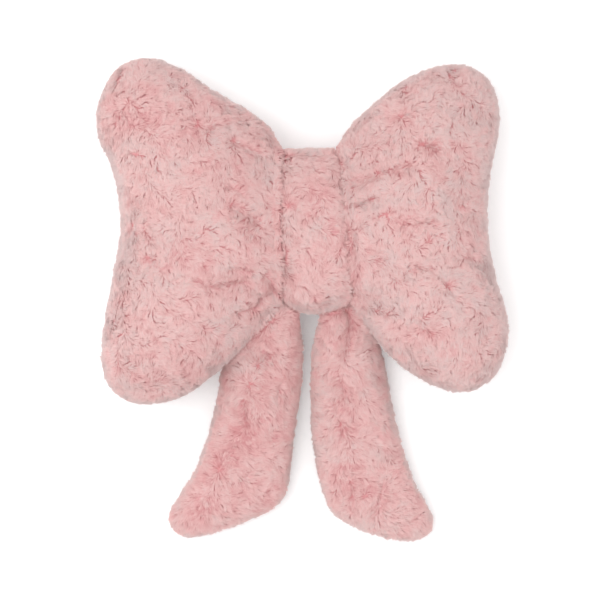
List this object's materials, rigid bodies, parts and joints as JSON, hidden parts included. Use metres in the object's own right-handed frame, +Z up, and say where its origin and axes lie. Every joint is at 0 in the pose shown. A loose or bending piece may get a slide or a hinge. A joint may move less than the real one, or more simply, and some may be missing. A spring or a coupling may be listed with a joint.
{
  "type": "bow cushion",
  "caption": "Filled plush cushion in the shape of a bow, with full loops, a gathered knot and flared hanging tails.",
  "frame": {"origin": "on the floor, under the middle of the cushion's outline", "axes": "+X to the right of the cushion's face, +Y towards the top of the bow, +Z up out of the face"},
  "size_m": [0.4124, 0.4874, 0.121],
  "materials": {
    "plush": "matt short-pile plush in pale pink"
  },
  "bodies": {
    "root": {"loop_left": "plush", "loop_right": "plush", "knot": "plush", "tail_left": "plush", "tail_right": "plush"}
  },
  "joints": []
}
